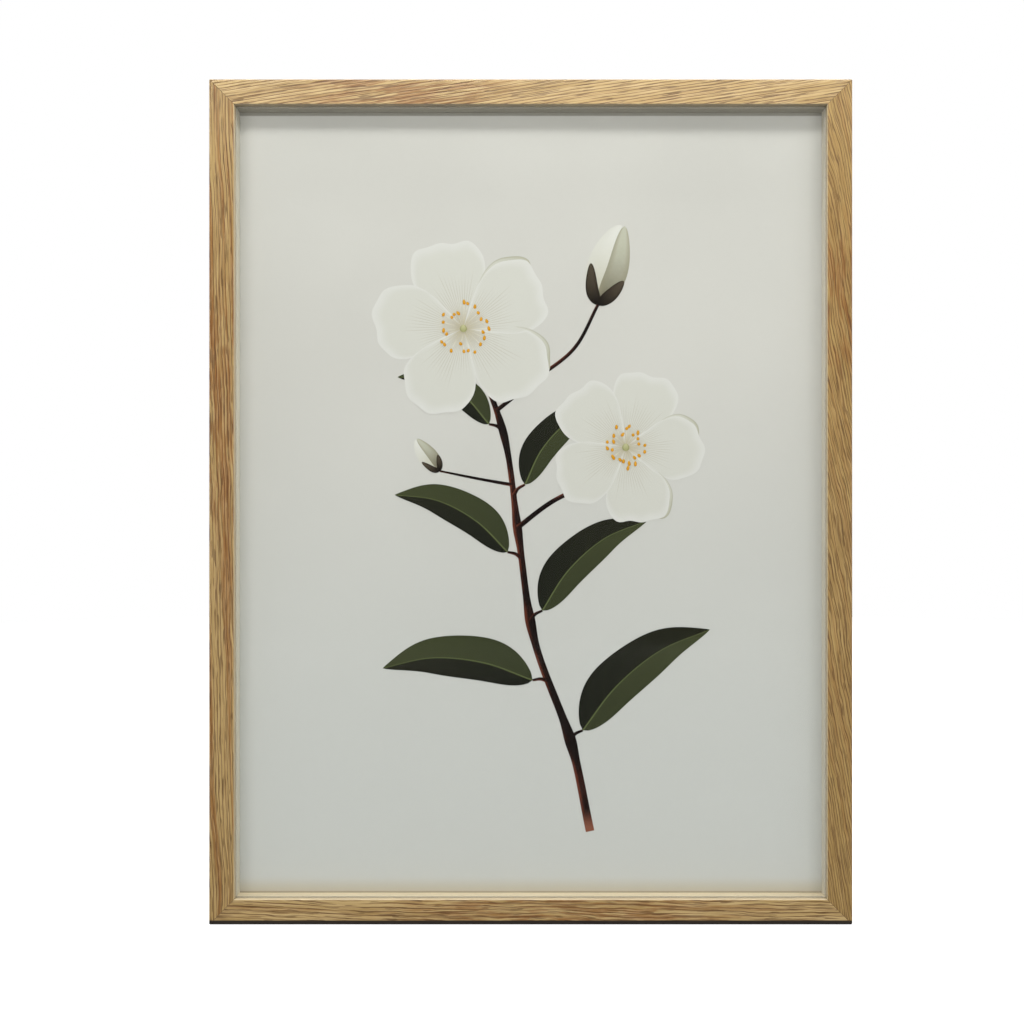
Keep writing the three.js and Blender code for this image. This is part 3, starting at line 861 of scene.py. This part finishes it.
def floor():
    """A pale disc: white to the camera but for a faint contact shadow, and dim to the frame above it."""
    bm = bmesh.new()
    bmesh.ops.create_circle(bm, cap_ends=True, segments=96, radius=FLOOR_RADIUS)
    s = Shader("pale_floor")
    tone = s.noise(s.coords(), 3.0, 2.0)
    colour = s.mix(tone, (0.24, 0.24, 0.24, 1.0), (0.28, 0.28, 0.28, 1.0))
    glow = camera_only(s.tree, 0.0, FLOOR_GLOW)
    white = (1.0, 1.0, 1.0, 1.0)
    surface = s.principled(Base_Color=colour, Roughness=0.9, Emission_Color=white, Emission_Strength=glow)
    piece = add_object("floor", bm, [s.finish(surface)])
    piece.location.z = -0.1 * MM


def world(strength):
    """A white room: strength is how much it lights the frame."""
    sky = bpy.data.worlds.new("studio")
    sky.use_nodes = True
    background = sky.node_tree.nodes["Background"]
    background.inputs["Color"].default_value = (1.0, 1.0, 1.0, 1.0)
    level = camera_only(sky.node_tree, strength, 1.0)
    sky.node_tree.links.new(level, background.inputs["Strength"])
    bpy.context.scene.world = sky


CAMERA_BACK = 0.51  # camera to the front face
CAMERA_HEIGHT = 0.19
VIEW_WIDTH = 0.5065  # how much of the front face's plane the picture spans
SHIFT_X, SHIFT_Y = -0.0183, 0.0281  # in widths of the picture
SENSOR = 36.0


def camera():
    """Square on to the frame and a little below its middle. The small shift sets it in the picture."""
    data = bpy.data.cameras.new("camera")
    data.sensor_width = SENSOR
    data.lens = SENSOR * CAMERA_BACK / VIEW_WIDTH
    data.shift_x = SHIFT_X
    data.shift_y = SHIFT_Y
    view = bpy.data.objects.new("camera", data)
    view.location = (0.0, FRONT_Y - CAMERA_BACK, CAMERA_HEIGHT)
    view.rotation_euler = (math.radians(90), 0.0, 0.0)
    bpy.context.scene.collection.objects.link(view)
    bpy.context.scene.camera = view


camera()
floor()
world(ROOM_LIGHT)
for light in LIGHTS:
    area_light(*light)

for rail, wood in WOODS.items():
    paint([rail], oak(**wood))
glue = dried_glue()
for side, side_name in ((-1, "left"), (1, "right")):
    for level, level_name in ((-1, "bottom"), (1, "top")):
        glue_line(level_name + "_" + side_name + "_glue_line", side, level, glue)
paint(["glazing"], glass())
# the top spacer's darker tones are painted shade under the top rail
paint(["top_spacer"], spacer("spacer_top_painted_shade", srgb(154, 150, 138), srgb(165, 161, 149)))
paint(["left_spacer", "right_spacer"], spacer("spacer_sides", srgb(206, 200, 182), srgb(216, 210, 194)))
paint(["bottom_spacer"], spacer("spacer_bottom", srgb(204, 190, 160), srgb(213, 200, 172)))
paint(["art_print"], paper())
paint(["mount_board"], board("conservation_board", srgb(232, 229, 218), srgb(238, 236, 228)))
paint(["barrier_board"], board("foam_board", srgb(236, 236, 232), srgb(222, 222, 218)))
paint(["backing_board"], fibreboard())
zinc_bright = zinc("zinc_bright", 196, 0.26)
zinc_dull = zinc("zinc_dull", 182, 0.36)
paint([name for name in frame["nodes"] if name.endswith(("_wedge", "_screw", "_d_ring"))], zinc_bright)
paint([name for name in frame["nodes"] if name.endswith(("_turn_button", "_strap"))], zinc_dull)
pad_felt = felt()
felt_pad("left_bumper", pad_felt, 3)
felt_pad("right_bumper", pad_felt, 4)
print_sprig()

bpy.context.scene.view_settings.view_transform = "Standard"
